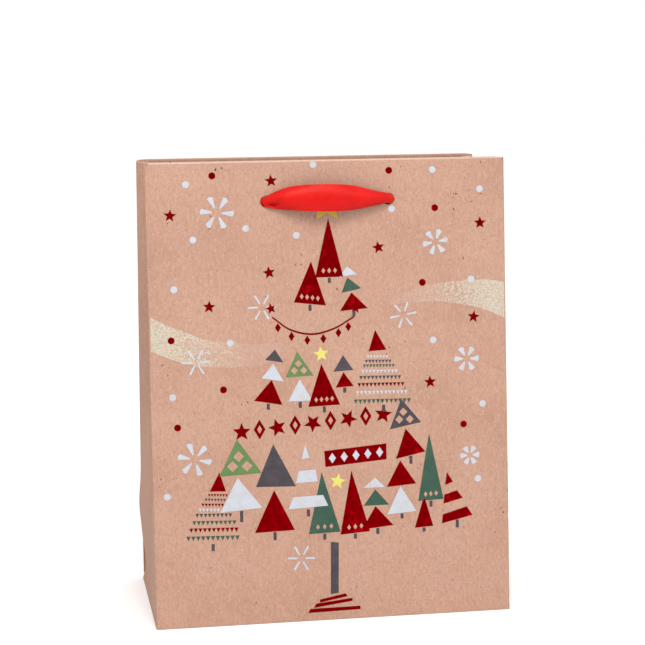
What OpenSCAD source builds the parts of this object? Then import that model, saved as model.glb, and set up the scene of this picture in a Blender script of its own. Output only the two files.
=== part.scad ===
// A medium portrait gift bag folded from one sheet of paper, with a turned-in
// top hem over stiffening cards, a loose base board and two ribbon handles.
// +X runs across the front, -Y faces the front and +Z is up. The origin is the
// middle of the base.

/* [Bag] */
// Width of the front and back panels
bag_w = 180; // [170:1:190]
// Depth of the base, front to back
bag_d = 100; // [96:1:104]
// Height of the panels, measured along the paper
bag_h = 230; // [220:1:240]
// Distance between the front and back panels at the mouth
mouth_gap = 64; // [62:1:70]
// How far the front panel's top leans in
front_lean = 12; // [6:1:14]
// Height of the cross crease in the back, where a stored bag's base folds up
crease_h = 50; // [45:1:55]

/* [Paper and card] */
// Thickness of the bag's paper
paper_t = 0.4; // [0.3:0.05:0.5]
// Depth of the paper turned in round the mouth
hem_h = 40; // [36:1:44]
// Thickness of the stiffening card inside the hem
card_t = 1; // [0.8:0.1:1.2]
// Height of the stiffening card
card_h = 36; // [34:1:36]
// Width of the glued lap down the seam
lap_w = 15; // [10:1:18]
// How far the front and back base flaps overlap
flap_overlap = 30; // [20:1:40]
// Thickness of the loose base board
board_t = 1.2; // [1:0.1:1.6]
// Gap between the base board and the walls
board_gap = 2; // [1.5:0.5:3]

/* [Ribbon handles] */
// Distance between the two ribbon holes of a panel
hole_spacing = 61; // [58:1:66]
// Distance of the holes below the top edge
hole_drop = 20; // [18:1:22]
// Diameter of the punched ribbon holes
hole_dia = 6; // [5:0.5:6.5]
// Width of the ribbon
ribbon_w = 13; // [10:1:13]
// Thickness of the ribbon
ribbon_t = 0.6; // [0.4:0.1:0.8]
// How far the strap between the holes stands off the panel
strap_rise = 9; // [6:1:10]
// Length of ribbon that hangs straight down inside
tail_drop = 100; // [90:1:105]
// Diameter of the stop knot on each ribbon end
knot_dia = 10; // [9:0.5:11]
// Length of ribbon end below the knot
tip_len = 10; // [6:1:12]

/* [Hidden] */

kraft = [0.83, 0.66, 0.55];
kraft_inside = [0.78, 0.53, 0.42];
card_grey = [0.68, 0.63, 0.57];
satin_red = [0.88, 0.1, 0.1];

$fn = 48;
half_w = bag_w / 2;
half_d = bag_d / 2;
upper_h = bag_h - crease_h;
clear = 0.3;              // gap between sheets that move apart
skin = 0.05;              // gap between glued layers
front_angle = asin(front_lean / bag_h);
back_lean = bag_d - front_lean - mouth_gap;
back_angle = asin(back_lean / upper_h);
layers_t = 2 * paper_t + card_t + 2 * skin;
hole_z = bag_h - hole_drop;
foot_lift = paper_t * sin(front_angle);
side_gap = 3.5;           // how far the cards and hems of the walls stop short of the corners
tail_bend = 6;            // radius where a tail turns down inside its hole
tail_gap = 0.4;           // between a tail and the gathered ribbon in its hole
ribbon_in_hole_dia = hole_dia - 1;

// Edge lines of the walls and the pleat between them, on the right-hand side
front_crease_y = -half_d + crease_h * tan(front_angle);
front_top = [half_w, -half_d + front_lean, bag_h * cos(front_angle)];
back_top = [half_w, half_d - back_lean, crease_h + upper_h * cos(back_angle)];
pleat_depth = sqrt(pow(half_d, 2) - pow(mouth_gap / 2, 2));
pleat_foot = [half_w, (front_crease_y + half_d) / 2, crease_h];
pleat_top_y = (front_top[1] + back_top[1]) / 2;
pleat_rise = sqrt(pow(upper_h, 2) - pow(pleat_depth, 2) - pow(pleat_top_y - pleat_foot[1], 2));
pleat_top = [half_w - pleat_depth, pleat_top_y, crease_h + pleat_rise];

// A thin slab: a sheet of triangles and the same sheet moved by shift
module slab(points, triangles, rim, shift) {
    n = len(points);
    polyhedron(
        points = concat(points, [for (p = points) p + shift]),
        faces = concat(
            triangles,
            [for (t = triangles) [t[2] + n, t[1] + n, t[0] + n]],
            [for (i = [0:len(rim) - 1])
                let (a = rim[i], b = rim[(i + 1) % len(rim)]) [b, a, a + n, b + n]]
        )
    );
}

// One half of the pleated gusset, between a wall's edge and the pleat's crease
module gusset_half(edge_foot, edge_top) {
    inward = edge_foot[1] > pleat_foot[1];
    points = [edge_foot, pleat_foot, pleat_top, edge_top];
    slab(points,
         inward ? [[0, 1, 3], [1, 2, 3]] : [[3, 1, 0], [3, 2, 1]],
         inward ? [0, 1, 2, 3] : [3, 2, 1, 0],
         [-paper_t, 0, 0]);
}

// The hem inside that half: the same two planes, above the hem's lower edge
module gusset_hem_half(edge_foot, edge_top) {
    inward = edge_foot[1] > pleat_foot[1];
    k = 1 - hem_h / upper_h;
    edge_hem = edge_foot + k * (edge_top - edge_foot);
    bend_hem = pleat_foot + k * (edge_top - pleat_foot);
    pleat_hem = pleat_foot + k * (pleat_top - pleat_foot);
    points = [for (p = [edge_hem, bend_hem, pleat_hem, pleat_top, edge_top])
        p - [paper_t + skin, 0, 0]];
    slab(points,
         inward ? [[0, 1, 4], [1, 2, 3], [1, 3, 4]] : [[4, 1, 0], [3, 2, 1], [4, 3, 1]],
         inward ? [0, 1, 2, 3, 4] : [4, 3, 2, 1, 0],
         [-paper_t, 0, 0]);
}

front_edge_gap = [0, paper_t + clear, 0];
back_edge_gap = [0, -paper_t - clear, 0];

module right_front_half() {
    gusset_half([half_w, front_crease_y, crease_h] + front_edge_gap, front_top + front_edge_gap);
}

module right_back_half() {
    gusset_half([half_w, half_d, crease_h] + back_edge_gap, back_top + back_edge_gap);
}

module right_front_hem_half() {
    gusset_hem_half([half_w, front_crease_y, crease_h] + front_edge_gap, front_top + front_edge_gap);
}

module right_back_hem_half() {
    gusset_hem_half([half_w, half_d, crease_h] + back_edge_gap, back_top + back_edge_gap);
}

// The flat foot of a gusset, below the crease
module right_foot() {
    front_low = -half_d + paper_t + skin + foot_lift;
    front_high = front_crease_y + paper_t + skin;
    translate([half_w - paper_t, 0, 0])
        rotate([90, 0, 90])
            linear_extrude(paper_t)
                polygon([
                    [front_low, 0],
                    [half_d - paper_t - skin, 0],
                    [half_d - paper_t - skin, crease_h - clear],
                    [front_high, crease_h - clear]
                ]);
}

// Frames of the walls: x across, y inward from the outer face, z up the paper
module on_front_wall() {
    translate([0, -half_d, foot_lift])
        rotate([-front_angle, 0, 0])
            children();
}

module on_back_wall() {
    translate([0, half_d, crease_h])
        rotate([back_angle, 0, 0])
            translate([0, 0, -crease_h])
                mirror([0, 1, 0])
                    children();
}

// Both ribbon holes of a wall, drilled through every layer
module ribbon_holes() {
    for (side = [-1, 1])
        translate([side * hole_spacing / 2, -1, hole_z])
            rotate([-90, 0, 0])
                cylinder(d = hole_dia, h = layers_t + 2);
}

module wall_panel(foot_z) {
    difference() {
        translate([-half_w, 0, foot_z])
            cube([bag_w, paper_t, bag_h - foot_z]);
        ribbon_holes();
    }
}

module wall_card() {
    difference() {
        translate([-half_w + side_gap, paper_t + skin, bag_h - card_h - paper_t])
            cube([bag_w - 2 * side_gap, card_t, card_h]);
        ribbon_holes();
    }
}

module wall_hem() {
    difference() {
        translate([-half_w + side_gap, layers_t - paper_t, bag_h - hem_h])
            cube([bag_w - 2 * side_gap, paper_t, hem_h]);
        ribbon_holes();
    }
}

// The ribbon's outside run: a shallow arch from hole to hole
module strap() {
    chord = hole_spacing / 2;
    end_cut = 0.6;
    radius = (pow(chord, 2) + pow(strap_rise, 2)) / (2 * strap_rise);
    translate([0, -clear, hole_z - ribbon_w / 2])
        linear_extrude(ribbon_w)
            intersection() {
                translate([0, radius - strap_rise])
                    difference() {
                        circle(r = radius, $fn = 96);
                        circle(r = radius - ribbon_t, $fn = 96);
                    }
                translate([-chord + end_cut, -strap_rise - 1])
                    square([hole_spacing - 2 * end_cut, strap_rise + 1]);
            }
}

// The gathered ribbon where it passes through both holes
module ribbon_in_holes() {
    for (side = [-1, 1])
        translate([side * hole_spacing / 2, -clear + skin, hole_z])
            rotate([-90, 0, 0])
                cylinder(d = ribbon_in_hole_dia, h = layers_t + clear);
}

// Where the holes open inside, as [y, z] on the centre plane
front_mouth = [
    -half_d + layers_t * cos(front_angle) + hole_z * sin(front_angle),
    foot_lift + hole_z * cos(front_angle) - layers_t * sin(front_angle)
];
back_mouth = [
    half_d - layers_t * cos(back_angle) - (hole_z - crease_h) * sin(back_angle),
    crease_h + (hole_z - crease_h) * cos(back_angle) - layers_t * sin(back_angle)
];

// Moves to a hole's inside end, with +Y pointing into the bag
module at_hole(mouth, side) {
    translate([side * hole_spacing / 2, mouth[0], mouth[1]])
        mirror([0, mouth[0] > 0 ? 1 : 0, 0])
            children();
}

// A ribbon end: out of the hole, round a bend and straight down to the knot
module tail() {
    spread = 14; // the drop over which the gathered ribbon opens to its full width
    intersection() {
        translate([-ribbon_w / 2, tail_gap, 0])
            rotate([90, 0, 90])
                linear_extrude(ribbon_w) {
                    intersection() {
                        translate([0, -tail_bend])
                            difference() {
                                circle(r = tail_bend + ribbon_t / 2);
                                circle(r = tail_bend - ribbon_t / 2);
                            }
                        translate([0, -tail_bend])
                            square(2 * tail_bend);
                    }
                    translate([tail_bend - ribbon_t / 2, -tail_bend - tail_drop])
                        square([ribbon_t, tail_drop]);
                }
        rotate([90, 0, 0])
            linear_extrude(4 * tail_bend, center = true)
                polygon([
                    [-ribbon_in_hole_dia / 2, ribbon_t],
                    [ribbon_in_hole_dia / 2, ribbon_t],
                    [ribbon_w / 2, -spread],
                    [ribbon_w / 2, -tail_bend - tail_drop],
                    [-ribbon_w / 2, -tail_bend - tail_drop],
                    [-ribbon_w / 2, -spread]
                ]);
    }
}

// The stop knot at the end of a tail, with the ribbon's tip below it
module knot() {
    tip_w = ribbon_w - 2;
    translate([0, tail_bend + tail_gap, -tail_bend - tail_drop - knot_dia / 2 - skin]) {
        sphere(d = knot_dia);
        translate([-tip_w / 2, -ribbon_t / 2, -knot_dia / 2 - tip_len])
            cube([tip_w, ribbon_t, tip_len + knot_dia / 2]);
    }
}

module front_panel() { color(kraft) on_front_wall() wall_panel(0); }
module front_card() { color(card_grey) on_front_wall() wall_card(); }
module front_hem() { color(kraft_inside) on_front_wall() wall_hem(); }
module back_panel_upper() { color(kraft) on_back_wall() wall_panel(crease_h + clear); }
module back_card() { color(card_grey) on_back_wall() wall_card(); }
module back_hem() { color(kraft_inside) on_back_wall() wall_hem(); }

module back_panel_lower() {
    color(kraft)
        translate([-half_w, half_d - paper_t, 0])
            cube([bag_w, paper_t, crease_h - clear]);
}

module right_gusset_front() { color(kraft) right_front_half(); }
module right_gusset_back() { color(kraft) right_back_half(); }
module right_gusset_foot() { color(kraft) right_foot(); }
module right_gusset_hem_front() { color(kraft_inside) right_front_hem_half(); }
module right_gusset_hem_back() { color(kraft_inside) right_back_hem_half(); }
module left_gusset_front() { color(kraft) mirror([1, 0, 0]) right_front_half(); }
module left_gusset_back() { color(kraft) mirror([1, 0, 0]) right_back_half(); }
module left_gusset_foot() { color(kraft) mirror([1, 0, 0]) right_foot(); }
module left_gusset_hem_front() { color(kraft_inside) mirror([1, 0, 0]) right_front_hem_half(); }
module left_gusset_hem_back() { color(kraft_inside) mirror([1, 0, 0]) right_back_hem_half(); }

// The lap that closes the tube, glued inside the back near the left edge
lap_x = -half_w + paper_t + 2 * skin;
base_top = 3 * paper_t + 3 * skin;

module seam_lap_lower() {
    foot_z = base_top + board_t + clear;
    color(kraft_inside)
        translate([lap_x, half_d - 2 * paper_t - skin, foot_z])
            cube([lap_w, paper_t, crease_h - clear - foot_z]);
}

module seam_lap_upper() {
    color(kraft_inside)
        on_back_wall()
            translate([lap_x + 2 * clear, paper_t + skin, crease_h + 1])
                cube([lap_w, paper_t, upper_h - hem_h - 2]);
}

// Base flaps in the order they are glued: sides first, then front, then back
inner_w = bag_w - 2 * paper_t - 2 * skin;
inner_d = bag_d - 2 * paper_t - 4 * skin;
long_flap = (inner_d + flap_overlap) / 2;

module base_flap_back() {
    color(kraft)
        translate([-inner_w / 2, inner_d / 2 - long_flap, 0])
            cube([inner_w, long_flap, paper_t]);
}

module base_flap_front() {
    color(kraft)
        translate([-inner_w / 2, -inner_d / 2, paper_t + skin])
            cube([inner_w, long_flap, paper_t]);
}

// A side flap, cut back at 45 degrees where the corner folds under
module side_flap() {
    flap_len = half_d - 2;
    translate([0, 0, 2 * (paper_t + skin)])
        linear_extrude(paper_t)
            polygon([
                [inner_w / 2, -inner_d / 2],
                [inner_w / 2, inner_d / 2],
                [inner_w / 2 - flap_len, inner_d / 2 - flap_len],
                [inner_w / 2 - flap_len, -inner_d / 2 + flap_len]
            ]);
}

module base_flap_right() { color(kraft_inside) side_flap(); }
module base_flap_left() { color(kraft_inside) mirror([1, 0, 0]) side_flap(); }

module base_board() {
    board_w = inner_w - 2 * board_gap;
    board_d = inner_d - 2 * board_gap;
    color(card_grey)
        translate([-board_w / 2, -board_d / 2, base_top])
            cube([board_w, board_d, board_t]);
}

module front_strap() { color(satin_red) on_front_wall() strap(); }
module back_strap() { color(satin_red) on_back_wall() strap(); }
module front_ribbon_in_holes() { color(satin_red) on_front_wall() ribbon_in_holes(); }
module back_ribbon_in_holes() { color(satin_red) on_back_wall() ribbon_in_holes(); }
module front_tail_left() { color(satin_red) at_hole(front_mouth, -1) tail(); }
module front_tail_right() { color(satin_red) at_hole(front_mouth, 1) tail(); }
module front_knot_left() { color(satin_red) at_hole(front_mouth, -1) knot(); }
module front_knot_right() { color(satin_red) at_hole(front_mouth, 1) knot(); }
module back_tail_left() { color(satin_red) at_hole(back_mouth, -1) tail(); }
module back_tail_right() { color(satin_red) at_hole(back_mouth, 1) tail(); }
module back_knot_left() { color(satin_red) at_hole(back_mouth, -1) knot(); }
module back_knot_right() { color(satin_red) at_hole(back_mouth, 1) knot(); }

front_panel();
front_hem();
front_card();
back_panel_lower();
back_panel_upper();
back_hem();
back_card();
left_gusset_front();
left_gusset_back();
left_gusset_foot();
right_gusset_front();
right_gusset_back();
right_gusset_foot();
left_gusset_hem_front();
left_gusset_hem_back();
right_gusset_hem_front();
right_gusset_hem_back();
seam_lap_lower();
seam_lap_upper();
base_flap_front();
base_flap_back();
base_flap_left();
base_flap_right();
base_board();
front_strap();
front_ribbon_in_holes();
front_tail_left();
front_tail_right();
front_knot_left();
front_knot_right();
back_strap();
back_ribbon_in_holes();
back_tail_left();
back_tail_right();
back_knot_left();
back_knot_right();
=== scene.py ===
"""The looks of a medium kraft paper gift bag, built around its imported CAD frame.

Lengths are in millimetres unless a comment says metres, and MM turns them into Blender's
metres. A place on a wall is (x, s, out): x across, s up the paper from the base, and out
from the paper's outer face.
"""

import math

import bmesh
import bpy
from mathutils import Matrix, Vector, noise


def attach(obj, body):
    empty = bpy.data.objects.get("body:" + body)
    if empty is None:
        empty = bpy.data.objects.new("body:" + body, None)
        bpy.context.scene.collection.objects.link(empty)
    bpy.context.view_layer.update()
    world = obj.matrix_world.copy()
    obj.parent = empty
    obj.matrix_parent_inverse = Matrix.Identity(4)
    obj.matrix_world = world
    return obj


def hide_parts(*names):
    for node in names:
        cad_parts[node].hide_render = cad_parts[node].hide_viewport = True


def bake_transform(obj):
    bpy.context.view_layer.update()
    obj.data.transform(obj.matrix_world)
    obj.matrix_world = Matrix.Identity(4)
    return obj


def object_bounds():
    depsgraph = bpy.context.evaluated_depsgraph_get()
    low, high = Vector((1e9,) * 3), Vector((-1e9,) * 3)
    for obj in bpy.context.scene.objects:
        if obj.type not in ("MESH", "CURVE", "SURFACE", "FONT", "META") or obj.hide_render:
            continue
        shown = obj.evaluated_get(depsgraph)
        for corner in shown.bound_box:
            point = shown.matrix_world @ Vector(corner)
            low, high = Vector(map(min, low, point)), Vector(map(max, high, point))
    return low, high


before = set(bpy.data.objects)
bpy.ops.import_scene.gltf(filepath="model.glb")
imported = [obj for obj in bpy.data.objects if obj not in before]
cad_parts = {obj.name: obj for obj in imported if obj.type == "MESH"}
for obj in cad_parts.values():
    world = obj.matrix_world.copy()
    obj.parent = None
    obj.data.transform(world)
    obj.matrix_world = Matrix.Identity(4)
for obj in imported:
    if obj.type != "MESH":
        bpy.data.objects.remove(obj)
CAD_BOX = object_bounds()
MM = 0.001

# The bag, as the CAD has it
HALF_W, HALF_D = (round(edge / MM) for edge in CAD_BOX[1][:2])
BAG_H = 230
CREASE_H = 50
FRONT_LEAN = 12
BACK_LEAN = 24
HEM_H = 40
# The panel, its card and its hem together
LAYERS_T = 1.9
HOLE_X = 30.5
HOLE_S = BAG_H - HEM_H / 2
HOLE_DIA = 6
FRONT_ANGLE = math.asin(FRONT_LEAN / BAG_H)
BACK_ANGLE = math.asin(BACK_LEAN / (BAG_H - CREASE_H))
# The right pleat's middle crease, from the cross crease up to the mouth
FOOT_DEPTH = 1.9
PLEAT_FOOT = Vector((HALF_W - FOOT_DEPTH, 1.3, CREASE_H))
PLEAT_TOP = Vector((51.6, -6, 225.8))


def front_at(x, s, out=0.0):
    """A place on the front, which leans back all the way up."""
    y = -HALF_D + s * math.sin(FRONT_ANGLE) - out * math.cos(FRONT_ANGLE)
    z = s * math.cos(FRONT_ANGLE) + out * math.sin(FRONT_ANGLE)
    return Vector((x, y, z))


def back_at(x, s, out=0.0):
    """A place on the back, which stands upright below the cross crease and leans in above it."""
    up = s - CREASE_H
    if up < 0:
        return Vector((x, HALF_D + out, s))
    y = HALF_D - up * math.sin(BACK_ANGLE) + out * math.cos(BACK_ANGLE)
    z = CREASE_H + up * math.cos(BACK_ANGLE) + out * math.sin(BACK_ANGLE)
    return Vector((x, y, z))


# ------------ camera

# Where the camera stands, in metres, and how it is aimed, in degrees
CAMERA_PLACE = (-0.1496, -0.9325, 0.2665)
CAMERA_YAW = -9.3
CAMERA_DOWN = 7.4
CAMERA_ROLL = -0.7
CAMERA_LENS = 102.5


def make_camera():
    data = bpy.data.cameras.new("camera")
    data.sensor_width = 36
    data.lens = CAMERA_LENS
    camera = bpy.data.objects.new("camera", data)
    bpy.context.scene.collection.objects.link(camera)
    turn = Matrix.Rotation(math.radians(CAMERA_YAW), 4, "Z")
    tilt = Matrix.Rotation(math.radians(90 - CAMERA_DOWN), 4, "X")
    roll = Matrix.Rotation(math.radians(CAMERA_ROLL), 4, "Z")
    camera.matrix_world = Matrix.Translation(CAMERA_PLACE) @ turn @ tilt @ roll
    bpy.context.scene.camera = camera


make_camera()


# ------------ materials

def srgb(red, green, blue):
    """Linear RGBA from 0-255 screen values."""
    def linear(value):
        value /= 255
        return value / 12.92 if value <= 0.04045 else ((value + 0.055) / 1.055) ** 2.4
    return (linear(red), linear(green), linear(blue), 1.0)


# How much brighter than its own colour the stage's light makes a surface facing the camera
LIT = 1.58


def seen(red, green, blue):
    """The colour of a surface that shows as these 0-255 screen values on the stage."""
    return tuple(value / LIT for value in srgb(red, green, blue)[:3]) + (1.0,)


class Nodes:
    """A material's node tree, with short calls for the nodes used here.

    Its sockets are the shader's own, with _ for each space.
    """

    def __init__(self, name, **sockets):
        self.material = bpy.data.materials.new(name)
        self.material.use_nodes = True
        self.tree = self.material.node_tree
        self.shader = self.tree.nodes["Principled BSDF"]
        for socket, value in sockets.items():
            self.shader.inputs[socket.replace("_", " ")].default_value = value
        self.place = self.add("ShaderNodeTexCoord").outputs["Object"]

    def add(self, kind, **settings):
        node = self.tree.nodes.new(kind)
        for key, value in settings.items():
            setattr(node, key, value)
        return node

    def link(self, source, target):
        self.tree.links.new(source, target)

    def stretched(self, scale):
        """The object's coordinates, scaled apart along x, y and z."""
        mapping = self.add("ShaderNodeMapping")
        mapping.inputs["Scale"].default_value = scale
        self.link(self.place, mapping.inputs["Vector"])
        return mapping.outputs["Vector"]

    def noise(self, scale, detail=4.0, rough=0.6, stretch=(1, 1, 1)):
        node = self.add("ShaderNodeTexNoise")
        node.inputs["Scale"].default_value = scale
        node.inputs["Detail"].default_value = detail
        node.inputs["Roughness"].default_value = rough
        self.link(self.stretched(stretch), node.inputs["Vector"])
        return node.outputs["Fac"]

    def ramp(self, source, *stops):
        """Colours along source, each stop a (position, color)."""
        node = self.add("ShaderNodeValToRGB")
        elements = node.color_ramp.elements
        while len(elements) < len(stops):
            elements.new(0.5)
        for element, (position, color) in zip(elements, stops):
            element.position = position
            element.color = color
        self.link(source, node.inputs["Fac"])
        return node.outputs["Color"]

    def mask(self, source, low, high):
        """0 where source is below low, rising to 1 at high."""
        return self.ramp(source, (low, (0, 0, 0, 1)), (high, (1, 1, 1, 1)))

    def feed(self, node, values):
        """Links or sets a node's inputs, given by their numbers."""
        for number, value in values.items():
            if isinstance(value, bpy.types.NodeSocket):
                self.link(value, node.inputs[number])
            else:
                node.inputs[number].default_value = value

    def mix(self, factor, first, second):
        node = self.add("ShaderNodeMix", data_type="RGBA")
        self.feed(node, {0: factor, 6: first, 7: second})
        return node.outputs[2]

    def math(self, operation, first, second):
        node = self.add("ShaderNodeMath", operation=operation)
        self.feed(node, {0: first, 1: second})
        return node.outputs[0]

    def bump(self, height, strength, distance):
        node = self.add("ShaderNodeBump")
        node.inputs["Strength"].default_value = strength
        node.inputs["Distance"].default_value = distance
        self.link(height, node.inputs["Height"])
        self.link(node.outputs["Normal"], self.shader.inputs["Normal"])

    def color(self, source):
        self.link(source, self.shader.inputs["Base Color"])


def kraft_color(n, pale, mid, dark):
    """Kraft paper: soft clouds, vertical fibres, fine grain and a few brown specks."""
    clouds = n.noise(25, 3)
    base = n.mix(0.5, n.ramp(clouds, (0.3, dark), (0.5, mid), (0.72, pale)), mid)
    mottle = n.noise(650, 3, 0.7, (1, 1, 0.7))
    base = n.mix(n.math("MULTIPLY", n.mask(mottle, 0.48, 0.64), 0.5), base, dark)
    fibres = n.noise(1100, 3, 0.7, (1, 1, 0.35))
    base = n.mix(n.math("MULTIPLY", n.mask(fibres, 0.5, 0.66), 0.8), base, pale)
    grain = n.noise(1500, 2, 0.7)
    base = n.mix(n.math("MULTIPLY", n.mask(grain, 0.52, 0.68), 0.8), base, dark)
    specks = n.noise(700, 1, 0.4, (1, 1, 0.7))
    cluster = n.noise(60, 2)
    brown = n.math("MULTIPLY", n.mask(specks, 0.735, 0.76), n.mask(cluster, 0.48, 0.62))
    return n.mix(brown, base, seen(120, 78, 62)), fibres, grain


def kraft_material(name, pale, mid, dark):
    n = Nodes(name, Roughness=0.88, Specular_IOR_Level=0.25)
    color, fibres, grain = kraft_color(n, pale, mid, dark)
    n.color(color)
    n.bump(n.math("ADD", fibres, n.math("MULTIPLY", grain, 0.6)), 0.22, 0.00025)
    return n.material


def glitter_material():
    """Pale gold glitter printed on kraft, thinning out towards the middle of the panel."""
    n = Nodes("glitter_on_kraft", Roughness=0.6)
    paper = kraft_color(n, *KRAFT_TONES)[0]
    side = n.add("ShaderNodeSeparateXYZ")
    n.link(n.place, side.inputs["Vector"])
    reach = n.math("ABSOLUTE", side.outputs["X"], 0.0)
    density = n.mask(n.math("MULTIPLY", reach, 10.0), 0.28, 0.85)
    flakes = n.noise(1500, 1, 0.5)
    cover = n.math("ADD", flakes, n.math("MULTIPLY", density, 0.36))
    gold = n.ramp(n.noise(2300, 0), (0.35, seen(192, 178, 152)), (0.65, seen(220, 212, 196)))
    n.color(n.mix(n.mask(cover, 0.7, 0.8), paper, gold))
    n.bump(flakes, 0.3, 0.0002)
    return n.material


def ink_material(name, color, worn):
    """Flat printed ink: a little uneven, with the paper's grain coming through."""
    n = Nodes(name, Roughness=0.62, Specular_IOR_Level=0.3)
    uneven = n.noise(240, 4, 0.7)
    thin = n.noise(1300, 2, 0.6)
    tone = n.mix(n.mask(uneven, 0.42, 0.8), color, worn)
    n.color(n.mix(n.math("MULTIPLY", n.mask(thin, 0.6, 0.78), 0.5), tone, worn))
    n.bump(thin, 0.15, 0.0002)
    return n.material


def foil_material():
    """Red hot-stamped foil, lightly crazed where it follows the paper's grain, with glints painted in as
    brighter red patches.
    """
    n = Nodes("red_foil", Metallic=1.0, Roughness=0.36)
    crazing = n.noise(420, 5, 0.75)
    # Where this noise is high the foil is painted a brighter red: painted glints, not a colour of the
    # foil.
    painted_glints = n.noise(150, 3, 0.6)
    tone = n.ramp(crazing, (0.35, srgb(94, 0, 2)), (0.6, srgb(124, 0, 4)))
    n.color(n.mix(n.mask(painted_glints, 0.58, 0.75), tone, srgb(162, 6, 12)))
    n.bump(crazing, 0.3, 0.0003)
    return n.material


def satin_material():
    """Red satin: fine threads across the ribbon and a soft sheen along it."""
    n = Nodes("red_satin", Roughness=0.38, Specular_IOR_Level=0.4, Specular_Tint=srgb(255, 160, 140),
              Sheen_Weight=0.06, Sheen_Roughness=0.35, Sheen_Tint=srgb(255, 130, 100))
    threads = n.noise(1100, 2, 0.5, (1, 1, 7))
    cross = n.noise(1100, 2, 0.5, (7, 1, 1))
    tone = n.ramp(n.noise(90, 3), (0.38, seen(214, 0, 8)), (0.62, seen(230, 8, 14)))
    n.color(n.mix(n.math("MULTIPLY", n.mask(threads, 0.45, 0.8), 0.4), tone, seen(248, 56, 48)))
    n.bump(n.math("ADD", threads, n.math("MULTIPLY", cross, 0.5)), 0.3, 0.00015)
    return n.material


def board_material():
    """Grey recycled board: matted fibres with dark and light flecks."""
    n = Nodes("grey_board", Roughness=0.92)
    base = n.ramp(n.noise(60, 5, 0.7), (0.3, seen(160, 146, 128)), (0.7, seen(188, 176, 158)))
    flecks = n.noise(700, 2, 0.6, (1, 0.4, 1))
    base = n.mix(n.mask(flecks, 0.66, 0.74), base, seen(112, 100, 88))
    pale = n.noise(560, 2, 0.6, (0.4, 1, 1))
    n.color(n.mix(n.mask(pale, 0.66, 0.74), base, seen(212, 204, 190)))
    n.bump(flecks, 0.25, 0.0003)
    return n.material


# Pale, middle and dark tones of the paper's printed face and its inside, and a paler tone for its cut
# edges that also paints a highlight along the fold over the mouth
KRAFT_TONES = (seen(214, 173, 151), seen(203, 159, 137), seen(183, 138, 116))
INSIDE_TONES = (seen(208, 158, 132), seen(200, 146, 120), seen(188, 134, 108))
EDGE_AND_FOLD_HIGHLIGHT_TONES = (seen(232, 200, 180), seen(224, 188, 168), seen(212, 174, 152))
kraft = kraft_material("kraft_outside", *KRAFT_TONES)
kraft_inside = kraft_material("kraft_inside", *INSIDE_TONES)
paper_edge_and_fold_highlight = kraft_material("kraft_cut_edge_and_fold_highlight", *EDGE_AND_FOLD_HIGHLIGHT_TONES)
satin = satin_material()
board = board_material()
foil = foil_material()
glitter = glitter_material()
INKS = {
    "white": ink_material("white_ink", seen(208, 212, 221), seen(200, 192, 190)),
    "green": ink_material("green_ink", seen(48, 84, 66), seen(66, 98, 78)),
    "olive": ink_material("olive_ink", seen(96, 132, 72), seen(114, 142, 86)),
    "grey": ink_material("grey_ink", seen(66, 60, 66), seen(88, 78, 82)),
    "yellow": ink_material("yellow_ink", seen(234, 224, 110), seen(226, 212, 120)),
    "gold": ink_material("gold_ink", seen(230, 190, 64), seen(218, 180, 82)),
    "bare": kraft,
    "red": foil,
    "glitter": glitter,
}


# ------------ mesh helpers

def new_object(name, mesh, *materials):
    for material in materials:
        mesh.materials.append(material)
    obj = bpy.data.objects.new(name, mesh)
    bpy.context.scene.collection.objects.link(obj)
    return obj


def built(name, bm):
    """A mesh from what has been drawn in bm, which is then done with."""
    mesh = bpy.data.meshes.new(name)
    bm.to_mesh(mesh)
    bm.free()
    return mesh


def apply_modifiers(obj):
    """Puts the modifiers' result in the object's own mesh."""
    bpy.context.view_layer.update()
    done = obj.evaluated_get(bpy.context.evaluated_depsgraph_get())
    mesh = bpy.data.meshes.new_from_object(done)
    obj.modifiers.clear()
    obj.data = mesh


# The materials of paper, after its face; the last is the paler cut edge, which also paints the highlight
# on the mouth's fold
INSIDE_SLOT = 1
EDGE_AND_FOLD_HIGHLIGHT_SLOT = 2


def grid_mesh(name, rows, keep=None, closed=False, fold_highlight_rows=()):
    """A mesh from rows of points, which run round to their start if closed.

    keep(row, column) says which faces are made, and the given fold rows get the paler paper-edge material
    as a painted highlight along the fold.
    """
    bm = bmesh.new()
    grid = [[bm.verts.new(p * MM) for p in row] for row in rows]
    columns = len(rows[0])
    for r in range(len(rows) - 1):
        for c in range(columns if closed else columns - 1):
            if keep is None or keep(r, c):
                d = (c + 1) % columns
                face = bm.faces.new((grid[r][c], grid[r][d], grid[r + 1][d], grid[r + 1][c]))
                face.material_index = EDGE_AND_FOLD_HIGHLIGHT_SLOT if r in fold_highlight_rows else 0
    bmesh.ops.delete(bm, geom=[v for v in bm.verts if not v.link_faces], context="VERTS")
    return built(name, bm)


def tube_mesh(name, tubes, looped=False):
    """A closed mesh of tubes, each a list of rings of points.

    A looped tube's last ring joins its first, and any other tube has flat ends.
    """
    bm = bmesh.new()
    for rings in tubes:
        grid = [[bm.verts.new(p * MM) for p in row] for row in rings]
        for r in range(len(grid) if looped else len(grid) - 1):
            for c in range(len(grid[r])):
                above, d = grid[(r + 1) % len(grid)], (c + 1) % len(grid[r])
                bm.faces.new((grid[r][c], grid[r][d], above[d], above[c]))
        if not looped:
            bm.faces.new(grid[0][::-1])
            bm.faces.new(grid[-1])
    bmesh.ops.recalc_face_normals(bm, faces=bm.faces)
    return built(name, bm)


def thicken(obj, thickness, **settings):
    """Turns a sheet into a closed solid, with these settings of the solidify modifier."""
    solid = obj.modifiers.new("thickness", "SOLIDIFY")
    solid.thickness = thickness * MM
    for key, value in settings.items():
        setattr(solid, key, value)
    apply_modifiers(obj)


def smooth(obj, degrees):
    """Shades an object smoothly, apart from edges sharper than this."""
    for polygon in obj.data.polygons:
        polygon.use_smooth = True
    obj.data.set_sharp_from_angle(angle=math.radians(degrees))


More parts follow.
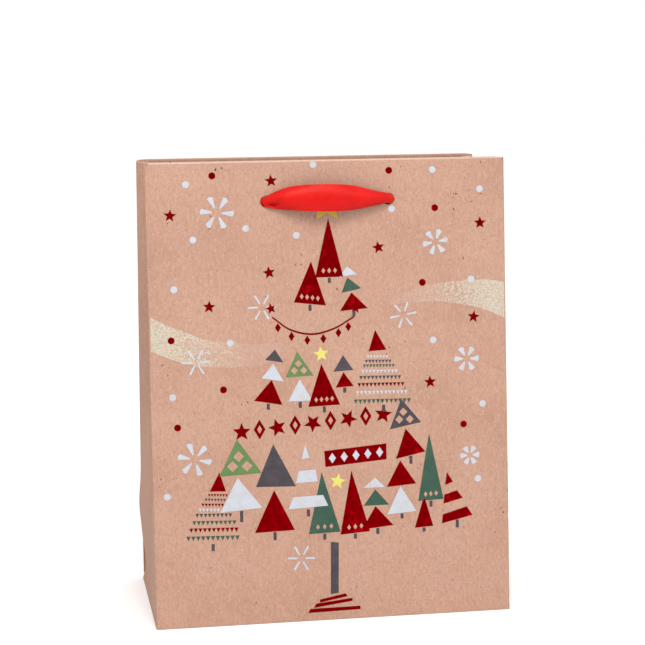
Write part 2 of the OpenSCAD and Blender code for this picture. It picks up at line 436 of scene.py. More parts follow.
def through(points, count):
    """count points along a smooth curve that passes through the given points."""
    knots = [Vector(p) for p in points]
    ends = [2 * knots[0] - knots[1]] + knots + [2 * knots[-1] - knots[-2]]
    splits = 24
    fine = []
    for a, b, c, d in zip(ends, ends[1:], ends[2:], ends[3:]):
        for step in range(splits):
            t = step / splits
            fine.append(0.5 * (2 * b + (c - a) * t + (2 * a - 5 * b + 4 * c - d) * t * t
                               + (3 * b - a - 3 * c + d) * t ** 3))
    fine.append(knots[-1])
    reach = [0.0]
    for a, b in zip(fine, fine[1:]):
        reach.append(reach[-1] + (b - a).length)
    result = []
    k = 0
    for i in range(count):
        goal = reach[-1] * i / (count - 1)
        while k < len(fine) - 2 and reach[k + 1] < goal:
            k += 1
        span = max(reach[k + 1] - reach[k], 1e-9)
        result.append(fine[k].lerp(fine[k + 1], min(1, (goal - reach[k]) / span)))
    return result


def eased(stops, x):
    """A value on a smooth curve through given (x, value) stops."""
    if x <= stops[0][0]:
        return stops[0][1]
    slopes = [0.0]
    for (x0, v0), (x2, v2) in zip(stops, stops[2:]):
        slopes.append((v2 - v0) / (x2 - x0))
    slopes.append(0.0)
    for i in range(len(stops) - 1):
        (x0, v0), (x1, v1) = stops[i], stops[i + 1]
        if x <= x1:
            span = x1 - x0
            t = (x - x0) / span
            ease = t * t * (3 - 2 * t)
            lead = slopes[i] * t * (1 - t) ** 2 - slopes[i + 1] * t * t * (1 - t)
            return v0 + (v1 - v0) * ease + span * lead
    return stops[-1][1]


def curl_angle(flat_share):
    """Half-angle of an arc whose chord is flat_share of its length."""
    low, high = 1e-3, 3.0
    for _ in range(40):
        middle = (low + high) / 2
        if math.sin(middle) / middle > flat_share:
            low = middle
        else:
            high = middle
    return low


# ------------ ribbon handles

RIBBON_HALF = 6.9
RIBBON_T = 0.35
# A ribbon is never drawn up into less than this share of its width by curling alone
TIGHTEST_CURL = 0.62


def ribbon_section(centre, across, facing, half, ripples, phase, pinch=0.0):
    """Points across a ribbon that is curled and pleated until it is only 2 x half wide."""
    bend = curl_angle(min(max(half / RIBBON_HALF, TIGHTEST_CURL), 0.995))
    radius = half / math.sin(bend)
    row = []
    for i in range(17):
        v = i / 8 - 1
        fold = ripples * math.sin(v * 7 + phase) - pinch * math.exp(-((v + 0.35) / 0.25) ** 2)
        side = radius * math.sin(v * bend)
        depth = radius * (1 - math.cos(v * bend)) - fold
        row.append(centre + across * side - facing * depth)
    return row


def make_ribbon(name, rows):
    obj = new_object(name, grid_mesh(name, rows), satin)
    # The thickness is half on each side, and uneven, because even folds spike at sharp gathers
    thicken(obj, RIBBON_T, offset=0, use_even_offset=False)
    finish_ribbon(obj)
    return obj


def finish_ribbon(obj):
    smooth(obj, 60)


# The strap's middle line as (x, height above the holes, out), and its half-widths along it
STRAP_ROUTE = ((-31, 0, -3), (-32.2, 0, -1.2), (-32.8, -0.2, 0.6), (-31.9, -0.3, 2.2),
               (-27.5, 0.4, 4.6), (-20, 1.2, 6.9), (-9, 1.3, 8.6), (3, 1.1, 9.1), (14, 0.9, 8.3),
               (24, 0.5, 6), (29.8, 0.5, 3.6), (32.3, 0.4, 1.8), (32.9, 0.2, 0.4),
               (32.2, 0, -1.2), (31, 0, -3))
STRAP_HALVES = ((0, 1.9), (0.05, 2.1), (0.09, 2.9), (0.15, 4.3), (0.23, 5.5), (0.36, 6.4), (0.5, 6.6),
                (0.6, 6.3), (0.7, 5.4), (0.8, 3.8), (0.88, 2.6), (0.94, 2.0), (1, 1.9))


def make_strap(wall, at, body, mirror):
    """The run outside the panel: gathered at both holes, full width in the middle."""
    route = through(STRAP_ROUTE, 110)
    origin = at(0, HOLE_S)
    up = (at(0, HOLE_S + 1) - origin).normalized()
    outward = (at(0, HOLE_S, 1) - origin).normalized()
    turn = 1 if up.cross(Vector((1, 0, 0))).dot(outward) > 0 else -1
    rows = []
    for i, p in enumerate(route):
        u = i / (len(route) - 1)
        half = eased(STRAP_HALVES, u)
        ahead = route[min(i + 1, len(route) - 1)] - route[max(i - 1, 0)]
        along = at(ahead.x, HOLE_S + ahead.y, ahead.z) - origin
        facing = turn * up.cross(along).normalized()
        loose = 1 - half / RIBBON_HALF
        pinch = 2.8 * math.exp(-((u - 0.13) / 0.05) ** 2)
        row = ribbon_section(at(p.x, HOLE_S + p.y, p.z), up, facing, half, 0.25 * loose, 9 * u + 0.6,
                             pinch)
        rows.append([Vector((mirror * q.x, q.y, q.z)) for q in row])
    strap = make_ribbon(f"{wall}_ribbon_strap", rows)
    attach(strap, body)
    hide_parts(f"{wall}_strap")
    return strap


def make_leg(wall, at, side):
    """Ribbon gathered behind the strap's end: slack that would draw out if the handle were pulled, shaped
    here at rest.
    """
    low, high = HOLE_S - 1.5, HOLE_S + 1.5
    steps = 30
    rows = []
    for i in range(steps + 1):
        t = i / steps
        s = low + (high - low) * t
        half = eased([(0, 1.6), (0.4, 5.0), (1, 6.2)], t)
        centre = side * (HOLE_X - 4.5 * t)
        row = []
        for k in range(9):
            v = k / 4 - 1
            row.append(at(centre + half * v, s, 0.9 + 0.35 * math.cos(v * 2.4) - 0.25 * (1 - t)))
        rows.append(row)
    leg = make_ribbon(f"{wall}_ribbon_leg_{'left' if side < 0 else 'right'}", rows)
    at(0, low + 0.2) * MM
    at(0, high - 0.2) * MM
    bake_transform(leg)
    return leg


def make_knot(name, centre, side):
    """A stop knot: the ribbon drawn up into a tight overhand knot, with its cut tip below."""
    count = 110
    across = 12
    size = 1.22
    half_wide, half_thick = 2.2, 1.3
    points = []
    for i in range(count):
        t = 2 * math.pi * i / count
        points.append(Vector((
            (math.sin(t) + 2 * math.sin(2 * t)) * size * side,
            -math.sin(3 * t) * size * 1.5,
            (math.cos(t) - 2 * math.cos(2 * t)) * size,
        )))
    rings = []
    for i, p in enumerate(points):
        along = (points[(i + 1) % count] - points[i - 1]).normalized()
        wide = along.cross(p.normalized()).normalized()
        thick = wide.cross(along).normalized()
        swell = 1 + 0.08 * math.sin(5 * i * 2 * math.pi / count)
        row = []
        for k in range(across):
            a = 2 * math.pi * k / across
            groove = 1 + 0.05 * math.sin(6 * a)
            row.append(centre + p + wide * (half_wide * swell * groove * math.cos(a))
                       + thick * (half_thick * swell * groove * math.sin(a)))
        rings.append(row)
    knot = new_object(name, tube_mesh(name, [rings], looped=True), satin)
    finish_ribbon(knot)
    tip = make_tip(name + "_tip", centre, side)
    tip.parent = knot
    return knot


def make_tip(name, centre, side):
    """The ribbon's end below its knot, spreading out to a slanting cut."""
    begin, length, slant = 3.5, 10.5, 2.2
    steps = 14
    rows = []
    for i in range(steps + 1):
        t = i / steps
        half = eased([(0, 2.2), (0.5, 4.6), (1, 5.6)], t)
        row = []
        for k in range(17):
            v = k / 8 - 1
            curve = 0.9 * math.sin(2.2 * t + v) * t + 0.5 * math.cos(v * 5) * (1 - t)
            row.append(centre + Vector((half * v, curve, slant * v * t * side - begin - length * t)))
        rows.append(row)
    return make_ribbon(name, rows)


# A tail's middle line as (distance inside the wall, height from its hole)
TAIL_ROUTE = ((0.4, 0), (2.8, -0.6), (5, -2.6), (6.1, -6), (6.4, -14), (6.8, -28), (6.4, -46),
              (6.0, -66), (6.3, -86), (6.4, -106))
# How far it sways outwards at each depth below its hole
TAIL_SWAY = ((0, 0), (14, -0.4), (40, -1.0), (70, 0.5), (106, 0))
# Along its length from 0 to 1: its twist in degrees, and its half-widths
TAIL_TWIST = ((0, 0), (0.3, -12), (0.6, 16), (1, -6))
TAIL_HALVES = ((0, 2.0), (0.05, 2.3), (0.2, 6.0), (0.3, 6.4), (0.9, 6.3), (0.96, 4.0), (1, 2.0))
# Where the middle of its knot is, in the terms of its route
TAIL_KNOT = (6.4, -111)


def make_tail(wall, at, side, bodies):
    """A ribbon end inside the bag: out of its hole, over a bend and down to its knot."""
    inward = 1 if wall == "front" else -1
    label = "left" if side < 0 else "right"
    mouth = at(side * HOLE_X, HOLE_S, -LAYERS_T)
    points = []
    for p in through([(0, inside, z) for inside, z in TAIL_ROUTE], 60):
        points.append(mouth + Vector((eased(TAIL_SWAY, -p.z) * side, inward * p.y, p.z)))
    rows = []
    for i, p in enumerate(points):
        along = (points[min(i + 1, len(points) - 1)] - points[max(i - 1, 0)]).normalized()
        u = i / (len(points) - 1)
        twist = math.radians(eased(TAIL_TWIST, u)) * side
        across = Vector((math.cos(twist), math.sin(twist), 0))
        facing = along.cross(across).normalized()
        half = eased(TAIL_HALVES, u)
        loose = 1 - half / RIBBON_HALF
        rows.append(ribbon_section(p, across, facing, half, 0.5 * loose + 0.1, 5 * u))
    tail = make_ribbon(f"{wall}_ribbon_tail_{label}", rows)
    knot_inside, knot_z = TAIL_KNOT
    knot_centre = mouth + Vector((0, inward * knot_inside, knot_z))
    knot = make_knot(f"{wall}_ribbon_knot_{label}", knot_centre, side)
    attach(knot, bodies[1])
    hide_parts(f"{wall}_knot_{label}")
    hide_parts(f"{wall}_tail_{label}")
    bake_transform(tail)


def make_gather(wall, at, body, replaced):
    """The gathered ribbon that fills a panel's two punched holes."""
    outer, length, size = 0.1, 2.9, 2.4
    steps = 8
    around = 24
    tubes = []
    for side in (-1, 1):
        rings = []
        for i in range(steps + 1):
            out = outer - length * i / steps
            row = []
            for k in range(around):
                a = 2 * math.pi * k / around
                radius = size + 0.3 * math.cos(5 * a + 0.6 * out)
                row.append(at(side * HOLE_X + radius * math.cos(a), HOLE_S + radius * math.sin(a), out))
            rings.append(row)
        tubes.append(rings)
    name = f"{wall}_ribbon_in_holes_gathered"
    gather = new_object(name, tube_mesh(name, tubes), satin)
    finish_ribbon(gather)
    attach(gather, body)
    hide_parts(replaced)


def make_handle(wall, at, wall_body):
    """A whole handle: its run outside, the ribbon in its holes and its two ends inside."""
    strap = make_strap(wall, at, f"{wall}_strap", 1 if wall == "front" else -1)
    for side in (-1, 1):
        make_tail(wall, at, side, (wall_body, f"{wall}_tails"))
        make_leg(wall, at, side)
    make_gather(wall, at, wall_body, f"{wall}_ribbon_in_holes")


make_handle("front", front_at, "bag")
make_handle("back", back_at, "back_wall")


# ------------ paper shell

PAPER_T = 0.35
# How much higher than the front the back's top edge stands
BACK_RISE = 0.8
# Radius of the bag's upright folds
CREASE_R = 0.8
CORNER_STEPS = 4
# Where the paper starts to turn over the mouth's edge
TOP_S = BAG_H - 0.9
# Where the walls turn flat and stiff, just above the hem's lower edge
STIFF_S = BAG_H - HEM_H + 2


def fade(x, width):
    """0 at the edge, easing to 1 at width from it."""
    t = max(0.0, min(1.0, x / width))
    return t * t * (3 - 2 * t)


def ripple(a, b, seed, size):
    """Seeded unevenness between about -1 and 1, in waves of this size."""
    return noise.noise(Vector((a / size, b / size, seed)))


def front_bow(x, s):
    """How far the front stands out: a soft swell below the stiff top, flat at every edge."""
    across = 1 - (x / HALF_W) ** 2
    under = STIFF_S + 2 - s
    swell = 1.3 * across * math.sin(math.pi * min(s, STIFF_S) / STIFF_S)
    edges = fade(HALF_W - abs(x), 12) * fade(s, 10) * fade(under, 14)
    return swell * fade(under, 20) + 0.35 * ripple(x, s, 3.1, 42) * edges


def back_bow(x, s):
    """How far the back stands out, with a groove pressed in along the cross crease."""
    across = 1 - (x / HALF_W) ** 2
    under = STIFF_S + 2 - s
    edges = fade(HALF_W - abs(x), 12) * fade(under, 14) * fade(abs(s - CREASE_H), 8)
    swell = 1.5 * across * math.sin(math.pi * (min(s, STIFF_S) - CREASE_H) / (STIFF_S - CREASE_H))
    groove = 0.35 * math.exp(-((s - CREASE_H) / 1.5) ** 2)
    return max(swell, -0.6) * fade(under, 20) + 0.4 * ripple(x, s, 8.3, 38) * edges - groove


def pleat_at(s):
    """The gusset's middle crease on the right, deeper with height."""
    if s <= CREASE_H:
        return Vector((HALF_W - FOOT_DEPTH * s / CREASE_H, PLEAT_FOOT.y, s))
    return PLEAT_FOOT.lerp(PLEAT_TOP, (s - CREASE_H) / (BAG_H - CREASE_H))


# The creases in a gusset's foot: each facet's corners as (y, z, depth)
FOOT_LOW_FRONT = (-HALF_D, 0, 0)
FOOT_LOW_BACK = (HALF_D, 0, 0)
FOOT_HIGH_FRONT = (-47, CREASE_H, 0)
FOOT_HIGH_BACK = (HALF_D, CREASE_H, 0)
FOOT_PLEAT = (PLEAT_FOOT.y, CREASE_H, FOOT_DEPTH)
FOOT_DENT = (-34, 32, FOOT_DEPTH)
FOOT_FACETS = (
    (FOOT_LOW_FRONT, FOOT_LOW_BACK, FOOT_DENT),
    (FOOT_LOW_FRONT, FOOT_DENT, FOOT_HIGH_FRONT),
    (FOOT_DENT, FOOT_PLEAT, FOOT_HIGH_FRONT),
    (FOOT_DENT, FOOT_LOW_BACK, FOOT_PLEAT),
    (FOOT_LOW_BACK, FOOT_HIGH_BACK, FOOT_PLEAT),
)
# A facet also takes the points just past its edges, as a share of its size
FACET_SLACK = 0.02

# A sharp dent under the front half of each gusset's cross crease: its depth, drop and half-height
DENT_DEPTH = 0.9
DENT_DROP = 1.4
DENT_HALF = 0.9


def foot_depth(y, z):
    """How far the creased foot of a gusset stands in from the side of the bag."""
    for (ay, az, a), (by, bz, b), (cy, cz, c) in FOOT_FACETS:
        size = (by - ay) * (cz - az) - (cy - ay) * (bz - az)
        u = ((by - y) * (cz - z) - (cy - y) * (bz - z)) / size
        v = ((cy - y) * (az - z) - (ay - y) * (cz - z)) / size
        if min(u, v, 1 - u - v) >= -FACET_SLACK:
            return max(0.0, a * u + b * v + c * (1 - u - v))
    return 0.0


def gusset_at(s, edge, q):
    """A point on the right gusset: q is 0 at a wall's edge and 1 at the pleat's crease."""
    pleat = pleat_at(s)
    p = edge.lerp(pleat, q)
    if s <= CREASE_H:
        p.x = HALF_W - foot_depth(p.y, p.z) + ear(s) * fade(p.y - PLEAT_FOOT.y, HALF_D)
        dent = DENT_DEPTH * math.exp(-((s - CREASE_H + DENT_DROP) / DENT_HALF) ** 2)
        p.x -= dent * (1 - fade(p.y, 12))
        return p
    k = (s - CREASE_H) / (BAG_H - CREASE_H)
    ease = math.sin(math.pi * q) * math.sin(math.pi * min(1, 1.05 * k))
    p.x += 1.1 * ease + 0.3 * ripple(p.y, s, edge.y, 30) * ease
    return p


def rounded(a, corner, b):
    """Points between a and b, round a fold whose sharp corner is given."""
    result = []
    for i in range(1, CORNER_STEPS):
        t = i / CORNER_STEPS
        result.append(a * (1 - t) ** 2 + corner * 2 * t * (1 - t) + b * t ** 2)
    return result


def ear(s):
    """The back corners stand out near the cross crease and draw in just above the base."""
    return 1.1 * math.exp(-((s - 42) / 11) ** 2) - 1.5 * math.exp(-((s - 10) / 11) ** 2) * fade(s, 3)


WALL_STEPS = 44
GUSSET_STEPS = 11
# The last points before a pleat's crease, as a share of the way there
PLEAT_EDGE = 0.985


def gusset_ring(s, front_edge, back_edge):
    """The right-hand side of ring(s), from the front's fold round to the back's."""
    pleat = pleat_at(s)
    q = CREASE_R / max((pleat - front_edge).length, 1)
    stations = [q + (PLEAT_EDGE - q) * i / GUSSET_STEPS for i in range(1, GUSSET_STEPS + 1)]
    begin = gusset_at(s, front_edge, q)
    end = gusset_at(s, back_edge, q)
    front_side = front_at(HALF_W - CREASE_R, s)
    back_side = Vector((HALF_W - CREASE_R + ear(s), back_edge.y, back_edge.z))
    side = [(p, "front") for p in rounded(front_side, front_edge, begin)]
    side.append((begin, "front_join"))
    side += [(gusset_at(s, front_edge, k), "gusset") for k in stations]
    side.append((pleat, "gusset"))
    side += [(gusset_at(s, back_edge, k), "gusset") for k in reversed(stations)]
    side.append((end, "gusset"))
    side += [(p, "gusset") for p in rounded(end, back_edge, back_side)]
    return side


def ring(s):
    """The outline of the bag at height s up the paper, with each point's part of the bag."""
    span = HALF_W - CREASE_R
    back_s = s + BACK_RISE * fade(s - (BAG_H - HEM_H), 38)
    points = []
    for i in range(WALL_STEPS + 1):
        x = -span + 2 * span * i / WALL_STEPS
        points.append((front_at(x, s, front_bow(x, s)), "front"))
    right = gusset_ring(s, front_at(HALF_W, s), back_at(HALF_W + ear(s), s))
    points += right
    for i in range(WALL_STEPS + 1):
        x = span - 2 * span * i / WALL_STEPS
        spread = ear(s) * (1 - fade(HALF_W - abs(x), 30)) * math.copysign(1, x)
        points.append((back_at(x + spread, back_s, back_bow(x, s)), "back"))
    points += [(Vector((-p.x, p.y, p.z)), part) for p, part in reversed(right)]
    return points


# Heights up the paper where the shell has a row of points, close together at the creases
FOOT_LEVELS = [0, 1.5, 4, 8, 13, 18, 23, 28, 33, 38, 42, 45, 47.5, 48.6, 49.4, CREASE_H]
UPPER_LEVELS = [51, 54, 58] + [63 + 5 * i for i in range(33)] + [226, 228, TOP_S]
OUTER_LEVELS = FOOT_LEVELS + UPPER_LEVELS
HEM_LEVELS = [227, 224, 218, 212, 206, 200, 195, 192, BAG_H - HEM_H]
CREASE_ROW = len(FOOT_LEVELS) - 1
TURN_STEPS = 6
# Along the back half of each pleat, its lower edge is tucked into the foot by this much
TUCK_LENGTH = 3.5
TUCK_INSET = 0.5
# Half the distance from the paper's face to its hem, and what the card between them adds
HEM_R = 0.34
CARD_R = 0.55


def hem_radius(p, part):
    if part not in ("front", "back"):
        return HEM_R
    return HEM_R + CARD_R * fade(HALF_W - 2 - abs(p.x), 3)


def shell_rows():
    """The sheet from the base up the outside, over the mouth's edge and down inside as the hem."""
    rings = [ring(s) for s in OUTER_LEVELS]
    parts = [part for _, part in rings[-1]]
    rows = [[p for p, _ in level] for level in rings]
    count = len(parts)

    def frame_at(row, below, c):
        """The directions up the paper and into the bag at a point of a row."""
        along = (row[(c + 1) % count] - row[c - 1]).normalized()
        up = (row[c] - below[c]).normalized()
        return up, up.cross(along).normalized()

    top, below = rows[-1], rows[-3]
    radii = [hem_radius(p, part) for p, part in zip(top, parts)]
    for step in range(1, TURN_STEPS + 1):
        angle = math.pi * step / TURN_STEPS
        row = []
        for c in range(count):
            up, inward = frame_at(top, below, c)
            r = radii[c]
            row.append(top[c] + up * r * math.sin(angle) + inward * r * (1 - math.cos(angle)))
        rows.append(row)
    for s in HEM_LEVELS:
        level = [p for p, _ in ring(s)]
        under = [p for p, _ in ring(s - 3)]
        row = []
        for c in range(count):
            up, inward = frame_at(level, under, c)
            row.append(level[c] + inward * 2 * radii[c])
        rows.append(row)
    return rows, parts


def make_shells():
    """The bag's paper in two pieces, which meet at the cross crease everywhere but on the front."""
    rows, parts = shell_rows()
    count = len(parts)
    folds = rows[CREASE_ROW]
    tucked = [part == "gusset" and PLEAT_FOOT.y <= p.y < HALF_D - 2 for p, part in zip(folds, parts)]
    tucks = [p - Vector((math.copysign(TUCK_INSET, p.x), 0, TUCK_LENGTH)) if tuck else q
             for p, q, tuck in zip(folds, rows[CREASE_ROW - 1], tucked)]
    shell_points = rows[:CREASE_ROW - 1] + [tucks] + rows[CREASE_ROW:]

    def in_tuck(r, c):
        return r == CREASE_ROW - 1 and tucked[c] and tucked[(c + 1) % count]

    def in_shell(r, c):
        return r >= CREASE_ROW or parts[c] == "front" or in_tuck(r, c)

    def in_foot(r, c):
        return r < CREASE_ROW and parts[c] != "front"

    # The rows that turn over the mouth's edge take the paler edge tone: a painted highlight where the
    # fold catches the light.
    mouth = range(len(OUTER_LEVELS) - 1, len(OUTER_LEVELS) + TURN_STEPS // 2)
    pieces = []
    for name, points, keep, fold_highlight_rows in (("paper_shell", shell_points, in_shell, mouth),
                                          ("paper_foot", rows, in_foot, ())):
        mesh = grid_mesh(name, points, keep, closed=True, fold_highlight_rows=fold_highlight_rows)
        piece = new_object(name, mesh, kraft, kraft_inside, paper_edge_and_fold_highlight)
        thicken(piece, PAPER_T, offset=-1, use_even_offset=True, material_offset=INSIDE_SLOT,
                material_offset_rim=EDGE_AND_FOLD_HIGHLIGHT_SLOT)
        pieces.append(piece)
    return pieces


def punch_holes(obj):
    """Cuts the ribbon holes through the panels and their hems."""
    radius = HOLE_DIA / 2 * MM
    bm = bmesh.new()
    for at in (front_at, back_at):
        outward = (at(0, HOLE_S, 1) - at(0, HOLE_S)).normalized()
        turn = outward.to_track_quat("Z", "Y").to_matrix().to_4x4()
        for side in (-1, 1):
            place = Matrix.Translation(at(side * HOLE_X, HOLE_S, -1) * MM) @ turn
            bmesh.ops.create_cone(bm, cap_ends=True, segments=32, radius1=radius, radius2=radius,
                                  depth=6 * MM, matrix=place)
    punch = new_object("punch", built("punch", bm))
    cut = obj.modifiers.new("holes", "BOOLEAN")
    cut.object = punch
    cut.operation = "DIFFERENCE"
    cut.solver = "EXACT"
    apply_modifiers(obj)
    bpy.data.objects.remove(punch)


shell, foot = make_shells()
punch_holes(shell)
smooth(shell, 50)
smooth(foot, 50)
gusset_nodes = [f"{side}_gusset_{part}{wall}" for part in ("", "hem_")
                for side in ("left", "right") for wall in ("front", "back")]
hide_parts("front_panel", "front_hem", "back_panel_upper", "back_hem", *gusset_nodes)
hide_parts("back_panel_lower", "left_gusset_foot", "right_gusset_foot")
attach(foot, "bag")
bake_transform(shell)


# ------------ print on the front

# How far ink stands out from the paper, what each layer adds, and how deep it is set in
INK_OUT = 0.07
INK_LAYER = 0.035
INK_ROOT = 0.15


class Print:
    """Flat shapes printed on the front, gathered by ink, each a thin plate set in the paper."""

    def __init__(self):
        self.shapes = {}

    def shape(self, ink, outline, layer=1, strip=False):
        """An outline of (x, s) points, where higher layers lie over lower ones.

        A strip's outline goes out along one edge and back along the other.
        """
        area = sum(a[0] * b[1] - b[0] * a[1] for a, b in zip(outline, outline[1:] + outline[:1]))
        outline = list(outline) if area > 0 else list(reversed(outline))
        self.shapes.setdefault(ink, []).append((outline, layer, strip))

    def dot(self, ink, x, s, radius=1.7, sides=24):
        turns = [2 * math.pi * i / sides for i in range(sides)]
        self.shape(ink, [(x + radius * math.cos(a), s + radius * math.sin(a)) for a in turns])

    def star(self, ink, x, s, radius, tilt, waist=0.44):
        """A five-pointed star, whose inner corners are at waist x radius."""
        outline = []
        for i in range(10):
            r = radius if i % 2 == 0 else radius * waist
            a = math.radians(90 + 36 * i + tilt)
            outline.append((x + r * math.cos(a), s + r * math.sin(a)))
        self.shape(ink, outline)

    def petals(self, x, s, radius, tilt, tip, root):
        """A snowflake of six white petals, tip wide outside and root wide at the middle."""
        for i in range(6):
            a = math.radians(tilt + 60 * i)
            cos_a, sin_a = math.cos(a), math.sin(a)
            spots = [(0.28, -root), (0.28, root), (0.95, tip), (1.0, 0), (0.9, -tip)]
            self.shape("white", [(x + radius * u * cos_a - w * sin_a, s + radius * u * sin_a + w * cos_a)
                                 for u, w in spots])

    def diamond(self, ink, x, s, half_w, half_h, layer=3):
        self.shape(ink, [(x - half_w, s), (x, s - half_h), (x + half_w, s), (x, s + half_h)], layer)

    def trunk(self, x, s, height):
        half = 0.75
        self.shape("grey", [(x - half, s), (x + half, s), (x + half, s + height), (x - half, s + height)])

    def tree(self, ink, apex, left, right, diamonds=0, trunk=0.0, layer=1):
        """A paper-cut tree: a triangle, perhaps with a row of diamonds and a trunk."""
        margin, row_up, trunk_gap = 0.08, 3.2, 0.4
        self.shape(ink, [left, right, apex], layer)
        for i in range(diamonds):
            t = (i + 1) / (diamonds + 1)
            x = left[0] + (right[0] - left[0]) * (margin + (1 - 2 * margin) * t)
            s = left[1] + (right[1] - left[1]) * t + row_up
            self.diamond("bare", x, s, 0.95, 1.4, layer + 1)
        if trunk:
            self.trunk((left[0] + right[0]) / 2, (left[1] + right[1]) / 2 - trunk - trunk_gap, trunk)

    def lattice_tree(self, ink, apex, left, right):
        """A wide tree with three diamonds cut out of it in a pyramid."""
        self.tree(ink, apex, left, right)
        width = right[0] - left[0]
        middle = (left[0] + right[0]) / 2
        low = (left[1] + right[1]) / 2
        height = apex[1] - low
        for dx, up in ((-0.17, 0.24), (0.17, 0.24), (0.0, 0.52)):
            x = middle + dx * width + (apex[0] - middle) * up
            self.diamond("bare", x, low + up * height, 0.13 * width, 0.155 * height)

    def bunting(self, ink, left, right, s, size, drop):
        """A row of hanging pennants, which sinks by drop from left to right."""
        count = max(3, round((right - left) / size))
        step = (right - left) / count
        for i in range(count):
            x = left + step * i
            y = s - drop * (i + 0.5) / count
            self.shape(ink, [(x, y), (x + step * 0.45, y - step * 0.95), (x + step * 0.9, y)])

    def band(self, ink, upper, lower, layer=0, steps=26):
        """A long soft strip between two edges, each a smooth curve through listed points."""
        top = through([(x, s, 0) for x, s in upper], steps)
        low = through([(x, s, 0) for x, s in lower], steps)
        self.shape(ink, [(q.x, q.y) for q in low + top[::-1]], layer, strip=True)

    def build(self):
        """Makes one piece for each ink, with its plates set in the bowed front."""
        for ink, shapes in self.shapes.items():
            bm = bmesh.new()
            for outline, layer, strip in shapes:
                count = len(outline)
                faces = [range(count)]
                if strip:
                    faces = [(i, i + 1, count - 2 - i, count - 1 - i) for i in range(count // 2 - 1)]
                top, low = ([bm.verts.new(front_at(x, s, front_bow(x, s) + out) * MM) for x, s in outline]
                            for out in (INK_OUT + INK_LAYER * layer, -INK_ROOT))
                for face in faces:
                    bm.faces.new([top[k] for k in face])
                    bm.faces.new([low[k] for k in reversed(face)])
                for i in range(count):
                    j = (i + 1) % count
                    bm.faces.new((top[j], top[i], low[i], low[j]))
            bmesh.ops.triangulate(bm, faces=[f for f in bm.faces if len(f.verts) > 4])
            piece = new_object(f"print_{ink}", built(f"print_{ink}", bm), INKS[ink])
            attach(piece, "bag")


def draw_sky(p):
    """Snow, small stars, snowflakes and the glitter bands round the big tree."""
    for x, s in ((-70, 219), (-7, 227.5), (-41, 197), (-16, 193), (-67, 192), (-77, 168), (53, 224),
                 (77, 214), (32, 205), (72, 169), (-50, 141), (-79, 115), (-83, 66), (52, 139),
                 (77, 106), (74, 68)):
        p.dot("white", x, s)
    for x, s in ((-57, 223), (31, 224), (54, 205), (47, 168), (-79, 143), (-54, 118), (-77, 100),
                 (67, 96)):
        p.dot("red", x, s)
    for x, s, tilt in ((-28, 220, 4), (-78, 204, -5), (-30, 175, 8), (-60, 159, -4), (77, 197, 0),
                       (25, 186, 10), (73, 150, -8), (50, 118, 3)):
        p.star("red", x, s, 3.2, tilt)
    for x, s, radius, tilt in ((-55, 205, 8.5, 55), (54, 188, 6.5, 70), (69, 129, 6.5, 60),
                               (-69, 84, 8.5, 48), (70, 80, 5, 62)):
        p.petals(x, s, radius, tilt, 1.5, 0.35)
    for x, s, tilt in ((-34, 158, 0), (37, 152, 10), (-67, 132, 2), (-17, 32, -2)):
        p.petals(x, s, 7, tilt, 0.55, 0.4)
    p.band("glitter",
           [(-89, 155), (-82, 151), (-72, 147), (-62, 143), (-48, 141), (-38, 140), (-24, 141)],
           [(-89, 138), (-77, 133), (-66, 130), (-52, 129), (-38, 129), (-26, 132)])
    p.band("glitter",
           [(30, 160), (40, 164), (52, 167), (67, 168.5), (80, 168.5), (89, 167)],
           [(30, 157), (40, 158), (55, 158), (69, 156), (80, 153), (89, 149)])


def draw_big_tree(p):
    """The big tree that small paper trees make up, below its gold star."""
    p.star("gold", -0.5, 208, 8.9, 0, 0.5)
    p.tree("red", (0, 201), (-7, 172), (7, 172), 3, 2.5)
    p.tree("red", (-9, 180), (-18, 160), (-2, 158), 4, 3)
    p.tree("white", (9, 177), (5, 172), (14, 173))
    p.tree("green", (9, 171.5), (6, 164), (16, 166))
    p.tree("red", (11, 164), (5, 155), (19, 156), trunk=3)
    p.tree("grey", (-28, 137), (-33, 132), (-24, 130.5))
    p.tree("white", (-29, 130), (-35, 123), (-24, 121))
    p.tree("red", (-30, 122), (-39, 112), (-25, 109.5), trunk=3)
    p.lattice_tree("olive", (-17, 135.5), (-23, 123), (-9, 123.5))
    p.tree("white", (-16, 122), (-22, 111), (-10, 111), trunk=3)
    p.tree("red", (-5, 129), (-12, 108), (4, 108.5), 4, 3, layer=2)
    p.star("yellow", -5, 134, 4, 6)
    p.tree("grey", (6, 133), (1, 125), (11, 125.5))
    p.tree("red", (6, 124.5), (2, 117), (11, 117.5), trunk=2.5)
    p.lattice_tree("grey", (35, 110), (29, 95), (45, 98))
    p.tree("red", (37, 95), (32, 80), (47, 83), trunk=4)
    p.tree("red", (34, 79), (27, 66), (42, 67))
    p.tree("green", (49, 92), (43, 58), (56, 58.5), 3, 3)
    p.tree("red", (9, 75), (3, 43), (18, 44), 3, 2.5, layer=2)
    p.tree("white", (21, 71), (15, 66), (26, 66))
    p.tree("green", (21, 65), (15, 57), (28, 57))
    p.tree("red", (21, 56.5), (14, 45), (30, 46.5), trunk=3)
    p.tree("white", (34, 66), (27, 52), (42, 53), trunk=2.5)
    p.tree("red", (46, 60.5), (41, 44.5), (50.5, 45), trunk=2)
    p.tree("green", (-6, 75), (-13, 44), (3, 44.5), 3, 3)
    p.tree("grey", (-30, 90), (-39, 69), (-19, 68.5))
    p.tree("red", (-30, 67), (-40, 46), (-20, 46.5), trunk=4)
    p.tree("white", (-48, 74), (-57, 57), (-36, 58.5), trunk=5.5, layer=2)
    p.lattice_tree("olive", (-48, 93), (-57, 75), (-36, 76))
    p.star("yellow", 2, 70, 4.2, -10)


